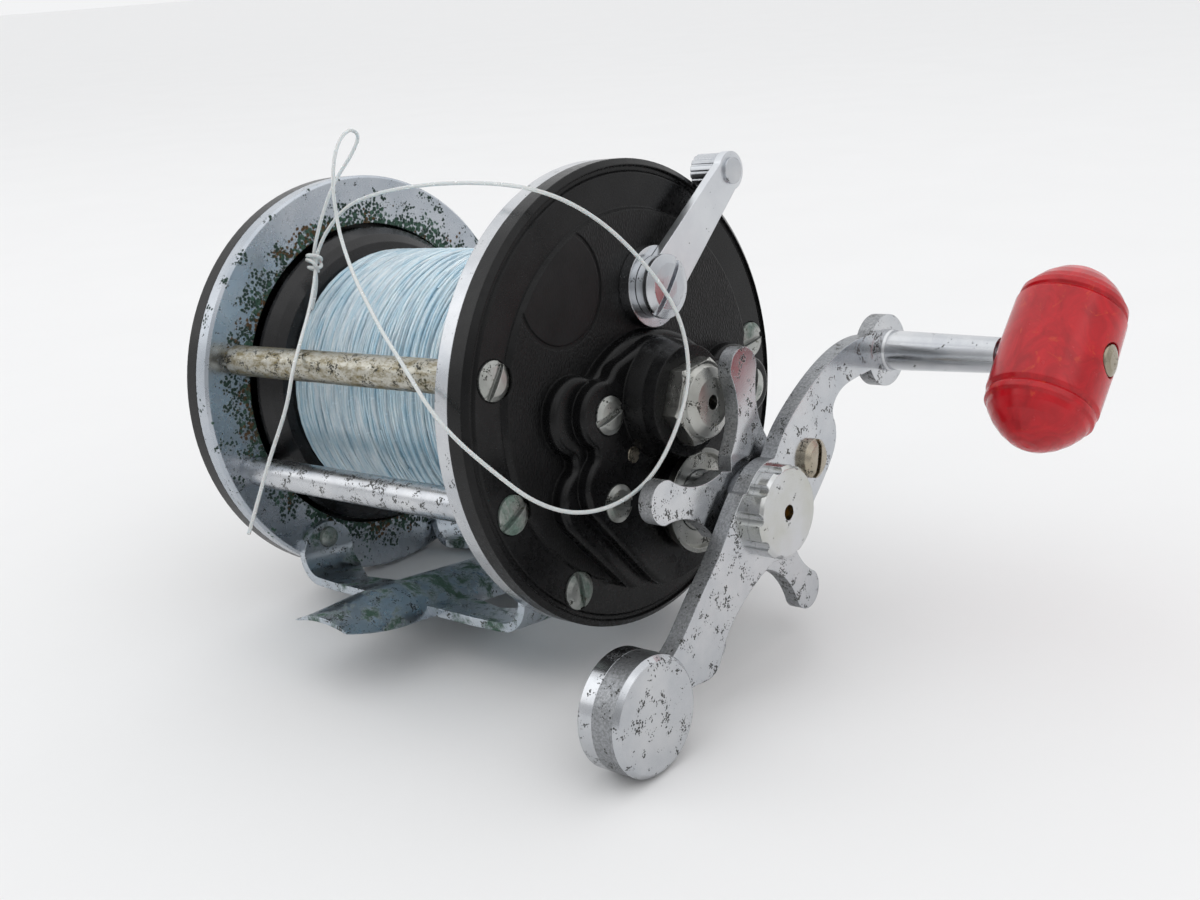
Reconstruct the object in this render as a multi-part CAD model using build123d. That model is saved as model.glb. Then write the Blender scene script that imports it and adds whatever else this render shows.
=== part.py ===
"""Conventional star-drag trolling reel, built as separate parts.

Frame: X runs along the spool axis from the click side to the crank side, +Z is
up and +Y points to the rear.  The origin is the centre of the reel foot's seat,
the plane where the foot lies on the rod.  Millimetres.
"""
from build123d import *
import os
from math import acos, atan2, cos, degrees, pi, radians, sin, sqrt, tan

os.makedirs("parts", exist_ok=True)

# ---- driving dimensions ----------------------------------------------------
AXIS_H = 40.3            # spool axis above the rod seat
PLATE_R = 41.2           # both side plates: 3 1/4 in across
RING_IN = 32.15          # inner faces of the two chrome rings, each side of centre
RING_WEB = 1.2           # sheet thickness of the rings
SEAM = 35.55             # where ring and side plate meet
FACE = 39.4              # outer face of a side plate at its rim
POST_PCD = 35.2          # radius on which the frame screws sit
POST_R = 2.9
POST_ANGLES = {"upper_front_post": 169, "lower_front_post": -154,
               "upper_rear_post": 11, "lower_rear_post": -26}
STAND_ANGLES = (-118, -59)
STAND_PCD = 35.8
SCREW_HEAD_R = 3.3
SHANK_R = 1.45
CLEAR = 0.05             # radial running clearance

SPOOL_R = 30.7
PACK_R = 26.0            # wound line
CORE_R = 9.0
SPINDLE_R = 2.0

MODULE = 0.8
GEAR_TEETH, PINION_TEETH = 35, 15
DRIVE = (6.51, -18.96)   # drive stud from the spool axis (y, z), 20.05 mm away
LEVER = (2.31, 19.14)    # free-spool lever pivot from the spool axis
LEVER_ANGLE = 43.7
LEVER_LEN = 28.3
BOSSES = ((-14.16, -1.11), (-12.56, -16.34), (26.45, -0.93), (24.6, -13.2))
PIN_AT = (-8.34, -8.68)  # pivot of the anti-reverse dog
MEDALLION = (-19.13, 20.06)

LEVEL_1, LEVEL_2, TOWER = 43.05, 45.55, 51.5   # relief heights of the right plate
CAVITY = 38.9            # depth of the hollow behind the right plate
YOKE_PINS = ((-9.0, 3.0), (9.5, 3.0))
THROW = 1.2              # travel of yoke and pinion when the lever is thrown
SLEEVE_R = 4.0           # gear sleeve that carries star, crank and nut
STAR_X0, STAR_X1 = 57.15, 59.85
CRANK_X0, CRANK_X1 = 61.05, 64.05
NUT_X1 = 67.05
KNOB_REACH, KNOB_ANGLE = 44.4, 32.2
WEIGHT_REACH, WEIGHT_ANGLE = 43.5, 216.5
WEIGHT_R = 9.8
GRIP_X, GRIP_R, GRIP_LEN, GRIP_LEAN = 96.85, 9.8, 35.6, 51.7
LINE_D = 0.7
RATCHET_TURN = 4.0


# ---- small helpers -----------------------------------------------------------
def polar(r, deg, about=(0.0, 0.0)):
    """Point (y, z) at radius r and angle deg, the angle measured from +Y towards +Z."""
    return about[0] + r * cos(radians(deg)), about[1] + r * sin(radians(deg))


def prism(x0, x1, sketch):
    """Extrude a sketch drawn in (y, z) about the spool axis from x0 to x1."""
    return extrude(Plane.YZ.offset(x0) * Pos(0, AXIS_H) * sketch, x1 - x0)


def rod(x0, x1, r, at=(0.0, 0.0)):
    return prism(x0, x1, Pos(*at) * Circle(r))


def tube(x0, x1, ro, ri, at=(0.0, 0.0)):
    return prism(x0, x1, Pos(*at) * (Circle(ro) - Circle(ri)))


def turned(profile, at=(0.0, 0.0)):
    """Revolve a closed (x, radius) profile about the X line through at."""
    face = make_face(Polyline(*[(x, 0, r) for x, r in profile], close=True))
    return Pos(0, at[0], AXIS_H + at[1]) * revolve(face, Axis.X)


def hull(*circles):
    """Outline round circles given as (y, z, r)."""
    return make_hull([e for y, z, r in circles for e in (Pos(y, z) * Circle(r)).edges()])


def disc(y, z, r):
    return Pos(y, z) * Circle(r)


def blended(*outlines, r=1.6):
    """Outlines joined into one, with the hollows between them rounded to r."""
    joined = outlines[0]
    for outline in outlines[1:]:
        joined = joined + outline
    return offset(offset(joined, r), -r)


def cut_all(body, tools):
    for tool in tools:
        body = body - tool
    return body


def slotted_head(x0, at, r=SCREW_HEAD_R, rise=1.1, turn=35.0, slot=1.15):
    """Domed cheese head with a screwdriver slot, seated at x0 and facing +X."""
    head = turned([(x0, 0), (x0, r), (x0 + 0.55 * rise, r), (x0 + 0.9 * rise, 0.72 * r),
                   (x0 + rise, 0.35 * r), (x0 + rise, 0)], at)
    groove = prism(x0 + 0.2 * rise, x0 + 2 * rise, Pos(*at) * Rot(0, 0, turn) * Rectangle(3 * r, slot))
    return head - groove


def screw(x0, x_tip, at, **head):
    """Screw whose head seats at x0 and whose shank reaches in to x_tip."""
    return slotted_head(x0, at, **head) + rod(x_tip, x0, SHANK_R, at)


def mirrored(part):
    return mirror(part, Plane.YZ)


def save(node, *solids):
    shape = solids[0] if len(solids) == 1 else Compound(children=list(solids))
    shape.label = node
    export_step(shape, f"parts/{node}.step")
    parts = shape.solids()
    print(f"{node:26s} solids {len(parts):2d}  volume {sum(s.volume for s in parts):10.1f}  "
          f"valid {all(s.is_valid for s in parts)}")


def gear_outline(teeth, tooth_angle, backlash=0.10):
    """Involute outline; one tooth points at tooth_angle (degrees)."""
    rp, ra, rf = MODULE * teeth / 2, MODULE * (teeth / 2 + 1), MODULE * (teeth / 2 - 1.25)
    rb = rp * cos(radians(20))
    inv20 = tan(radians(20)) - radians(20)
    half = pi / (2 * teeth) - backlash / (2 * rp) + inv20
    flank = []
    r0 = max(rb, rf)
    for k in range(4):
        r = r0 + (ra - r0) * k / 3
        a = acos(min(1.0, rb / r))
        flank.append((r, half - (tan(a) - a)))
    points = []
    for t in range(teeth):
        mid = radians(tooth_angle) + 2 * pi * t / teeth
        side = [(rf, flank[0][1])] if rf < r0 else []
        for r, a in side + flank:
            points.append((r * cos(mid - a), r * sin(mid - a)))
        for r, a in reversed(side + flank):
            points.append((r * cos(mid + a), r * sin(mid + a)))
    return make_face(Polyline(*points, close=True))


frame_screws = [polar(POST_PCD, a) for a in POST_ANGLES.values()]
stand_screws = [polar(STAND_PCD, a) for a in STAND_ANGLES]
drive_angle = degrees(atan2(DRIVE[1], DRIVE[0]))
knob_at = polar(KNOB_REACH, KNOB_ANGLE, DRIVE)
weight_at = polar(WEIGHT_REACH, WEIGHT_ANGLE, DRIVE)

# ---- rings and posts --------------------------------------------------------------
ring = turned([(RING_IN, 31.5), (RING_IN, PLATE_R - 0.5), (RING_IN + 0.5, PLATE_R), (SEAM, PLATE_R),
               (SEAM, PLATE_R - 1.3), (RING_IN + RING_WEB, PLATE_R - 1.3), (RING_IN + RING_WEB, 31.5)])
ring = cut_all(ring, [rod(RING_IN - 1, SEAM, SHANK_R + CLEAR, p) for p in frame_screws + stand_screws])
save("right_ring", ring)
save("left_ring", mirrored(ring))

for name, angle in POST_ANGLES.items():
    at = polar(POST_PCD, angle)
    neck = 2.4
    post = turned([(-RING_IN, 0), (-RING_IN, neck), (-RING_IN + 1.0, neck), (-RING_IN + 1.6, POST_R),
                   (RING_IN - 1.6, POST_R), (RING_IN - 1.0, neck), (RING_IN, neck), (RING_IN, 0)], at)
    for x0, x1 in ((-RING_IN, -RING_IN + 9.5), (RING_IN - 9.5, RING_IN)):
        post = post - rod(x0, x1, SHANK_R + CLEAR, at)
    save(name, post)

# ---- right side plate ----------------------------------------------------------------
plate = turned([(SEAM, 0), (SEAM, PLATE_R), (38.7, PLATE_R), (39.5, 40.1), (38.9, 39.8), (38.9, 39.2),
                (FACE, 38.8), (FACE, 33.0), (40.3, 32.5), (40.3, 0)])
gear_case = hull((-13.6, -13.4, 6.4), (*DRIVE, 16.4))
tower_foot = hull((-9.0, 3.0, 4.8), (9.5, 3.0, 4.8), (0, 0, 10.9), (2.0, -4.5, 14.9))
level_2 = blended(gear_case, tower_foot, disc(-14.8, -1.1, 5.9), hull((*BOSSES[2], 5.4), (12.0, -4.0, 9.0)),
                  hull((*BOSSES[3], 5.4), (12.0, -12.0, 10.0)))
level_1 = blended(hull((-17.0, -15.5, 6.4), (*DRIVE, 19.6)), disc(1.5, -9.5, 21.4), disc(-18.2, -1.1, 6.9),
                  disc(24.4, -0.9, 8.0), disc(22.1, -13.2, 7.5))
for top, outline, limit, edge in ((LEVEL_1, level_1, 33.6, 1.2), (LEVEL_2, level_2, 33.2, 0.9)):
    step = prism(38.8, top, outline)
    step = fillet(step.edges().group_by(Axis.X)[-1], edge)
    plate = plate + (step & rod(38.0, 50.0, limit))
plate = plate + turned([(45.0, 0), (45.0, 10.7), (LEVEL_2, 10.7), (49.0, 9.9), (TOWER, 9.6), (TOWER, 0)])
for p in BOSSES:
    plate = plate - rod(LEVEL_2 - 0.4, LEVEL_2 + 4, SCREW_HEAD_R + 0.15, p)
    plate = plate - rod(SEAM - 1, LEVEL_2 + 1, SHANK_R + CLEAR, p)
plate = plate + tube(LEVEL_2 - 0.5, LEVEL_2 + 0.7, 8.2, 6.2, DRIVE)
for p in frame_screws + stand_screws:
    plate = plate - rod(SEAM - 1, FACE + 2, SHANK_R + CLEAR, p)
    plate = plate - rod(FACE - 0.3, FACE + 4, SCREW_HEAD_R + 0.15, p)
# cavity for bridge, yoke, gears and drag stack
plate = plate - rod(SEAM - 1, CAVITY, 30.4)
plate = plate - rod(SEAM - 1, 38.2, 15.05, DRIVE) - rod(SEAM - 1, 41.5, 11.75, DRIVE)
plate = plate - prism(SEAM - 1, 44.2, hull((*YOKE_PINS[0], 3.0), (*YOKE_PINS[1], 3.0), (0, 0, 9.6)))
plate = plate - rod(SEAM - 1, 46.2, 7.4)
plate = plate - rod(46, TOWER + 1, 5.6)                         # bearing cap thread
plate = plate - rod(41, 52, 5.6, DRIVE)                         # drag sleeve passes here
plate = plate - rod(38, 44, 2.6 + CLEAR, LEVER)                 # lever shaft
plate = plate - turned([(40.05, 10.0), (40.05, 9.3), (40.6, 9.3), (40.6, 10.0)], MEDALLION)
for p in BOSSES:                                                # posts that carry the bridge
    plate = plate + tube(34.5, 39.5, 2.9, SHANK_R + CLEAR, p)
plate = plate - rod(LEVEL_2 - 6.9, LEVEL_2 + 1, 1.5, PIN_AT)
save("right_plate", plate)

# ---- bridge and its screws --------------------------------------------------------------
bridge_outline = hull((*BOSSES[0], 4.2), (*BOSSES[1], 4.2), (*DRIVE, 8.0), (BOSSES[2][0] - 0.2, BOSSES[2][1], 3.9),
                      (BOSSES[3][0] - 0.6, BOSSES[3][1], 3.9), (*LEVER, 5.0))
bridge = prism(33.5, 34.5, bridge_outline) - rod(33, 36, 5.2)
bridge = bridge + rod(34.5, 62.0, 2.6, DRIVE)                   # fixed gear stud
for p in BOSSES:
    bridge = bridge - rod(33, 36, SHANK_R + CLEAR, p)
for p in YOKE_PINS:
    bridge = bridge + rod(34.5, 43.8, 0.9, p)
bridge = bridge - rod(33, 36, 1.0 + CLEAR, PIN_AT)
save("bridge", bridge)
turns = (20, -10, 75, 40)
save("bridge_screws", *[screw(LEVEL_2 - 0.4, 33.5, p, turn=t) for p, t in zip(BOSSES, turns)])
dog_pin = turned([(33.5, 0), (33.5, 1.0), (38.65, 1.0), (38.65, 1.45), (LEVEL_2 + 0.05, 1.45),
                  (LEVEL_2 + 0.05, 0)], PIN_AT)
save("dog_pin", dog_pin)

# ---- frame screws --------------------------------------------------------------------------
right_turns = (60, 35, 15, 50, 100, 5)
right_screws = [screw(FACE - 0.3, RING_IN - 8.5, p, turn=t) for p, t in zip(frame_screws, right_turns)]
right_screws += [screw(FACE - 0.3, RING_IN - 1.5, p, turn=t) for p, t in zip(stand_screws, right_turns[4:])]
save("right_plate_screws", *right_screws)
left_screws = [screw(FACE - 0.3, RING_IN - 8.5, p, turn=t) for p, t in zip(frame_screws, (10, 80, 45, 120))]
left_screws += [screw(FACE - 0.3, RING_IN - 1.5, p, turn=t) for p, t in zip(stand_screws, (30, 65))]
save("left_plate_screws", *[mirrored(s) for s in left_screws])

# ---- reel stand: saddle-shaped foot with four riveted ears --------------------------------------
SHEET = 1.5
FOOT_HALF = 42.3
EAR_R = 6.1


def arch(half_width, edge_z, crown_z, thick):
    """Closed (x, z) outline of a saddle strip, feet at edge_z and crown at crown_z."""
    outer = ThreePointArc((-half_width, edge_z), (0, crown_z), (half_width, edge_z))
    inner = ThreePointArc((-half_width + thick, edge_z), (0, crown_z - thick), (half_width - thick, edge_z))
    return make_face([outer, inner, Line((-half_width, edge_z), (-half_width + thick, edge_z)),
                      Line((half_width, edge_z), (half_width - thick, edge_z))])


def foot_section(y, half_width, edge_z, crown_z, thick):
    return Plane((0, y, 0), x_dir=(1, 0, 0), z_dir=(0, -1, 0)) * arch(half_width, edge_z, crown_z, thick)


middle = extrude(foot_section(26, 8.0, 0.0, 5.6, SHEET), 52)
blade_front = loft([foot_section(-26, 8.0, 0.0, 5.6, SHEET), foot_section(-36, 8.0, 0.4, 4.6, 1.3),
                    foot_section(-FOOT_HALF, 7.6, 1.6, 3.3, 0.9)])
blade_rear = mirror(blade_front, Plane.XZ)


def stand_leg(y_root, ear, width_root):
    """Strap from the blade's edge out to a round ear that lies flat on the ring."""
    inner = 6.45                                   # ends inside the blade's own sheet
    ear_in, z_flat, z_ear, r = RING_IN - 1.6, 2.0, 6.4, 4.4
    x_bend, k = ear_in - r, sqrt(0.5)
    section = make_face([Line((inner, z_flat), (x_bend, z_flat)),
                         ThreePointArc((x_bend, z_flat), (x_bend + r * k, z_ear - r * k), (ear_in, z_ear)),
                         Line((ear_in, z_ear), (RING_IN, z_ear)),
                         ThreePointArc((RING_IN, z_ear), (x_bend + (r + 1.6) * k, z_ear - (r + 1.6) * k),
                                       (x_bend, z_flat - 1.6)),
                         Line((x_bend, z_flat - 1.6), (inner, z_flat - 1.6)),
                         Line((inner, z_flat - 1.6), (inner, z_flat))])
    slab = extrude(Plane.XZ.offset(-60) * section, 120)
    s = 1 if ear[0] > 0 else -1
    front, y_ear = abs(y_root), abs(ear[0])
    plan = make_face(Polyline((inner, s * front), (20, s * front), (26, s * (y_ear + EAR_R)),
                              (34, s * (y_ear + EAR_R)), (34, s * (y_ear - EAR_R)),
                              (28, s * (y_ear - EAR_R + 0.3)), (19, s * (front - width_root)),
                              (inner, s * (front - width_root - 3)), close=True))
    strap = slab & extrude(plan, 60, both=True)
    centre = (ear[0], ear[1] - 2.9)
    lobe = Pos(*centre) * Circle(EAR_R) + Pos(*centre) * Rectangle(2 * EAR_R, 1.6)
    above_bend = extrude(Plane.XY.offset(6.4) * Pos(31, ear[0]) * Rectangle(8, 40), 30)
    return strap + (prism(RING_IN - 1.6, RING_IN, lobe) & above_bend)


front_ear, rear_ear = stand_screws
stand = middle + blade_front + blade_rear
for ear, root in ((front_ear, 23.4), (rear_ear, 24.5)):
    leg = stand_leg(root, ear, 7.0)
    stand = stand + leg + mirrored(leg)
for p in stand_screws:
    stand = stand - rod(-40, 40, SHANK_R + CLEAR, p)
save("reel_stand", stand)
rivets = []
for p in stand_screws:
    rivets.append(turned([(RING_IN - 1.6, 0), (RING_IN - 1.6, 2.2), (RING_IN - 2.2, 2.0), (RING_IN - 2.9, 0.9),
                          (RING_IN - 2.9, 0)], p))
save("stand_rivets", *rivets, *[mirrored(r) for r in rivets])

# ---- right bearing and cap --------------------------------------------------------------------
bearing = tube(46.2, 50.5, 5.5, SPINDLE_R + 0.06)
save("right_bearing", bearing)
hexagon = prism(TOWER, 54.6, RegularPolygon(7.7, 6, rotation=12))
hexagon = hexagon & turned([(TOWER, 0), (TOWER, 7.9), (53.9, 7.9), (54.6, 7.0), (54.6, 0)])
cap = hexagon + rod(50.6, TOWER, 5.5) + turned([(54.5, 0), (54.5, 6.4), (55.6, 6.0), (56.4, 4.2), (56.4, 0)])
cap = cap - rod(50, 54.0, SPINDLE_R + 0.15) - rod(53, 57, 1.3)
save("right_bearing_cap", cap)

# ---- spool, spindle and click ratchet ----------------------------------------------------------
half = [(0, CORE_R), (26.4, CORE_R), (26.4, PACK_R - 1.0), (27.0, PACK_R + 1.6), (28.4, 29.2), (30.4, SPOOL_R - 0.2),
        (31.0, SPOOL_R), (31.7, SPOOL_R - 0.3), (31.7, 22.0), (30.2, 20.5), (29.8, 8.0), (31.2, 6.4),
        (31.2, SPINDLE_R)]
spool = turned(half + [(-x, r) for x, r in reversed(half)])
save("spool", spool)
shaft = rod(-47.0, 50.2, SPINDLE_R)
tang = rod(31.3, 34.2, 3.6) & prism(31.3, 34.2, Rectangle(8, 3.2))
save("spindle", shaft + tang)
save("wound_line", turned([(-26.4, CORE_R), (-26.4, PACK_R - 1.1), (-24.5, PACK_R), (-8, PACK_R - 0.35),
                           (9, PACK_R + 0.1), (24.5, PACK_R - 0.2), (26.4, PACK_R - 1.1), (26.4, CORE_R)]))
teeth = Circle(9.0)
for k in range(18):
    teeth = teeth - Rot(0, 0, 20 * k) * Pos(9.2, 0) * Circle(1.05)
save("click_ratchet", prism(-34.6, -32.4, teeth - Circle(SPINDLE_R)))

# ---- pinion, yoke and springs --------------------------------------------------------------------
pinion = prism(34.9, 40.6, gear_outline(PINION_TEETH, drive_angle)) + rod(33.2, 34.9, 4.9)
pinion = pinion + rod(40.6, 41.75, 4.0) + rod(41.75, 42.7, 5.2)
pinion = pinion - rod(32, 44, SPINDLE_R + 0.06) - prism(33.1, 34.25, Rectangle(9.9, 3.4))
save("pinion", pinion)
fork = hull((*YOKE_PINS[0], 1.9), (*YOKE_PINS[1], 1.9), (-2.6, 6.6, 1.9), (2.6, 6.6, 1.9))
fork = fork + hull((-5.8, -2, 1.4), (-5.8, 3, 1.4))
fork = fork + hull((5.8, -2, 1.4), (5.8, 3, 1.4)) - hull((0, 0, 4.2), (0, -10, 4.2))
yoke = prism(40.72, 41.62, fork)
riser = Pos(1.5, 8.0) * Rectangle(4.0, 1.0)
yoke = yoke + prism(36.6, 41.62, riser)
yoke = yoke + prism(36.6, 37.4, hull((1.5, 9.6, 1.9), (*LEVER, 3.4)) + riser)
for p in YOKE_PINS:
    yoke = yoke - rod(36, 42, 0.9 + CLEAR, p)
yoke = yoke - rod(36, 38, 1.5, LEVER)
save("yoke", yoke)
springs = []
for p in YOKE_PINS:
    helix = Helix(pitch=0.42, height=0.9, radius=1.3)
    wire = sweep((helix ^ 0) * Circle(0.12), path=helix)
    springs.append(Pos(41.78, p[0], AXIS_H + p[1]) * Rot(0, 90, 0) * wire)
save("yoke_springs", *springs)

# ---- main gear, ratchet and drag stack --------------------------------------------------------------
gap_angle = drive_angle + 180 + 180 / GEAR_TEETH
gear = prism(35.8, 37.9, Pos(*DRIVE) * gear_outline(GEAR_TEETH, gap_angle)) + rod(37.9, 40.3, 11.4, DRIVE)
gear = gear - rod(35, 38, SLEEVE_R + 0.1, DRIVE) - rod(36.8, 41, 10.4, DRIVE)
save("main_gear", gear)
ratchet = Circle(10.6)
for k in range(12):
    notch = make_face(Polyline((12, 0), (8.9, 0), (10.75, 4.6), (12, 4.6), close=True))
    ratchet = ratchet - Rot(0, 0, 30 * k + RATCHET_TURN) * notch
save("ratchet_wheel", prism(34.7, 35.7, Pos(*DRIVE) * (ratchet - Circle(SLEEVE_R))))
save("drag_friction_washers", *[tube(x, x + 0.85, 10.25, 4.15, DRIVE) for x in (36.85, 38.65)])
save("drag_metal_washers", *[tube(x, x + 0.8, 10.25, 4.15, DRIVE) for x in (37.75, 39.55)])
save("gear_sleeve", tube(34.6, 66.0, SLEEVE_R, 2.66, DRIVE))
save("drag_sleeve", tube(40.4, 56.95, 5.4, SLEEVE_R + CLEAR, DRIVE))
cup = turned([(47.0, 5.5), (47.0, 9.0), (48.85, 9.4), (48.85, 8.6), (47.8, 8.2), (47.8, 5.5)], DRIVE)
save("drag_cup_washer", cup)

# ---- star drag ----------------------------------------------------------------------------------------
star_plan = Circle(8.6)
for k in range(5):
    arm = make_face([Polyline((0, -6.2), (10.5, -5.6)), Spline((10.5, -5.6), (17.5, -2.7), (24.2, -3.4)),
                     ThreePointArc((24.2, -3.4), (28.2, 0.3), (24.0, 3.9)),
                     Spline((24.0, 3.9), (17.5, 2.7), (10.5, 5.6)), Polyline((10.5, 5.6), (0, 6.2), (0, -6.2))])
    star_plan = star_plan + Rot(0, 0, 95.0 + 72 * k) * arm
star = prism(STAR_X0, STAR_X1, Pos(*DRIVE) * star_plan)
star = star + rod(STAR_X0, 60.8, 7.6, DRIVE) - rod(50, 70, SLEEVE_R + CLEAR, DRIVE)
save("star_drag", star)

# ---- crank ---------------------------------------------------------------------------------------------
ARM_ANGLE = 34.0
def arm_outline(edge, back):
    """Half of the crank, from the hub along edge and back to the hub."""
    return make_face([Spline(*edge), Line(edge[-1], back[0]), Spline(*back), Line(back[-1], (-4, -4)),
                      Line((-4, -4), (-4, 4)), Line((-4, 4), edge[0])])


knob_half = arm_outline([(6.0, 7.6), (10.5, 9.2), (15.5, 9.9), (24.0, 10.0), (33.0, 8.6), (42.0, 4.2)],
                        [(42.0, -2.0), (36.0, 0.2), (31.0, 2.4), (26.5, 3.2), (23.6, 1.9), (22.4, -1.6), (17.0, -5.4),
                         (8.0, -7.6)])
weight_half = arm_outline([(6.0, 7.2), (10.0, 6.4), (16.0, 6.4), (21.2, 7.3), (24.3, 8.7), (27.0, 10.1), (29.6, 9.7),
                           (31.8, 8.3), (37.0, 7.2)],
                          [(37.0, -1.0), (32.0, -0.9), (23.7, -3.0), (16.2, -4.8), (9.0, -7.4), (5.0, -8.6)])
arm_plan = knob_half + Rot(0, 0, 180) * weight_half + Circle(9.0)
arm_plan = Pos(*DRIVE) * Rot(0, 0, ARM_ANGLE) * arm_plan
arm_plan = arm_plan + Pos(*knob_at) * Circle(6.7) + Pos(*weight_at) * Circle(WEIGHT_R - 0.6)
arm_solid = prism(CRANK_X0, CRANK_X1, arm_plan)
weight = turned([(CRANK_X0, 0), (CRANK_X0, WEIGHT_R), (65.2, WEIGHT_R), (66.0, WEIGHT_R - 0.8), (66.0, 0)], weight_at)
arm_solid = arm_solid + weight
lock_at = polar(13.4, 33.0, DRIVE)
arm_solid = arm_solid - rod(60, 70, SLEEVE_R + CLEAR, DRIVE) - rod(60, 70, 3.15, knob_at)
arm_solid = arm_solid - rod(62, 70, SHANK_R, lock_at)
save("crank_arm", arm_solid)
save("counterweight_slug", turned([(57.0, 0), (57.0, 8.0), (58.0, 8.2), (58.2, WEIGHT_R), (CRANK_X0, WEIGHT_R),
                                   (CRANK_X0, 0)], weight_at))
nut_plan = Circle(8.1)
for k in range(10):
    nut_plan = nut_plan - Rot(0, 0, 36 * k) * Pos(8.75, 0) * Circle(1.35)
nut = prism(CRANK_X1, NUT_X1, Pos(*DRIVE) * nut_plan)
nut = nut & turned([(CRANK_X1, 0), (CRANK_X1, 8.1), (NUT_X1 - 0.5, 8.1), (NUT_X1, 7.5), (NUT_X1, 0)], DRIVE)
nut = nut - rod(60, 66.1, SLEEVE_R, DRIVE) - rod(60, 70, 1.35, DRIVE)
save("crank_nut", nut)
lock_head = slotted_head(CRANK_X1, lock_at, r=3.5, rise=1.9, turn=80)
save("nut_lock_screw", lock_head + rod(62, CRANK_X1, SHANK_R, lock_at))

# ---- knob: fixed spindle on the arm, grip free to turn on it ------------------------------------------------
spindle = turned([(CRANK_X0, 0), (CRANK_X0, 3.15), (CRANK_X1, 3.15), (CRANK_X1, 3.9), (65.0, 3.9), (65.4, 3.7),
                  (86.8, 3.2), (86.8, 2.0), (106.7, 2.0), (106.7, 0)], knob_at)
save("knob_spindle", spindle)
h = GRIP_LEN / 2
grip_profile = [(-h, 0), (-h + 0.3, 1.9), (-h + 1.0, 3.6), (-h + 2.2, 5.4), (-h + 3.8, 7.1), (-h + 5.4, 8.3),
                (-h + 6.4, 8.7), (-h + 6.8, 9.25), (-h + 7.8, 9.35), (-h + 8.3, 9.0), (-h + 9.0, 9.6)]
curve = [(x, r) for x, r in grip_profile] + [(0, GRIP_R)] + [(-x, r) for x, r in reversed(grip_profile)]
grip = revolve(make_face(Polyline(*[(x, 0, r) for x, r in curve], close=True)), Axis.X)
grip = Rot(0, 0, 90) * grip                                    # long axis now along Y
grip = Pos(GRIP_X, knob_at[0], AXIS_H + knob_at[1]) * Rot(GRIP_LEAN, 0, 0) * grip
grip = grip - rod(80, 110, 2.0 + 0.08, knob_at) - rod(105.6, 110, 3.1, knob_at) - rod(80, 87.6, 3.4, knob_at)
save("knob_grip", grip)
save("knob_rivet", turned([(105.75, 2.0), (105.75, 2.9), (106.5, 2.7), (106.9, 1.6), (106.9, 0), (106.7, 0),
                           (106.7, 2.0)], knob_at))

# ---- free-spool lever ---------------------------------------------------------------------------------------
tip = polar(LEVER_LEN, LEVER_ANGLE, LEVER)
plan = Pos(*LEVER) * Rot(0, 0, LEVER_ANGLE) * make_face(
    Polyline((0, -4.6), (LEVER_LEN, -3.1), (LEVER_LEN, 3.1), (0, 4.6), close=True))
plan = plan + Pos(*LEVER) * Circle(5.4) + Pos(*tip) * Circle(3.5)
lever = prism(42.7, 44.3, plan) - rod(42, 45, 1.8, LEVER) - rod(42, 45, 1.2, tip)
save("throw_lever", lever)
save("lever_washer", tube(40.35, 42.6, 7.1, 2.7, LEVER))
save("lever_screw", slotted_head(44.3, LEVER, r=5.6, rise=1.6, turn=55, slot=1.0) + rod(42.7, 44.3, 1.8, LEVER))
shaft = rod(38.7, 42.7, 2.6, LEVER) + rod(36.4, 38.7, 1.35, LEVER) + rod(35.4, 36.4, 4.0, LEVER)
save("throw_cam", shaft)
knurl = Circle(3.3)
for k in range(16):
    knurl = knurl - Rot(0, 0, 22.5 * k) * Pos(3.4, 0) * Circle(0.28)
save("lever_knob", prism(37.4, 42.7, Pos(*tip) * knurl) + rod(42.7, 44.3, 1.2, tip) + rod(44.3, 44.8, 2.4, tip))

# ---- anti-reverse dog and its spring --------------------------------------------------------------------------
nose_at = polar(10.9, 138, DRIVE)
dog_plan = hull((*PIN_AT, 2.4), (nose_at[0], nose_at[1], 0.8)) - Pos(*PIN_AT) * Circle(1.06)
save("anti_reverse_dog", prism(34.75, 35.65, dog_plan) - rod(30, 50, 10.75, DRIVE))

# ---- left side plate with bearing cap and click --------------------------------------------------------------
left = turned([(SEAM, 0), (SEAM, PLATE_R), (38.7, PLATE_R), (39.5, 40.1), (38.9, 39.8), (38.9, 39.2),
               (FACE, 38.8), (FACE, 33.0), (40.3, 32.5), (40.3, 17.0), (41.6, 15.6), (43.4, 13.0), (44.6, 11.0),
               (47.6, 9.8), (47.6, 0)])
left = left - rod(SEAM - 1, 38.6, 30.4) - rod(SEAM - 1, 42.0, 10.0) - rod(40, 48, 5.6)
for p in frame_screws + stand_screws:
    left = left - rod(SEAM - 1, FACE + 2, SHANK_R + CLEAR, p) - rod(FACE - 0.3, FACE + 4, SCREW_HEAD_R + 0.15, p)
left = mirrored(left)
CLICK_DIR = 125.0
slot_mid = polar(22.0, CLICK_DIR)
left = left - prism(-42, -38, Pos(*slot_mid) * Rot(0, 0, CLICK_DIR) * SlotOverall(8.4, 3.4))
save("left_plate", left)
save("left_bearing", tube(-46.4, -42.2, 5.5, SPINDLE_R + 0.06))
dial = Circle(8.6)
for k in range(24):
    dial = dial - Rot(0, 0, 15 * k) * Pos(8.75, 0) * Circle(0.45)
left_cap = prism(-51.0, -47.6, dial) + rod(-47.6, -46.5, 5.5) - rod(-49.0, -46, SPINDLE_R + 0.15)
save("left_bearing_cap", left_cap)
button_at = polar(24.0, CLICK_DIR)
button = turned([(-43.6, 0), (-43.6, 2.6), (-43.0, 3.4), (-40.5, 3.4), (-40.5, 1.5), (-37.6, 1.5), (-37.6, 0)],
                button_at)
save("click_button", button)
tongue = hull((*button_at, 2.6), (*polar(13.0, CLICK_DIR), 1.0))
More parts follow.
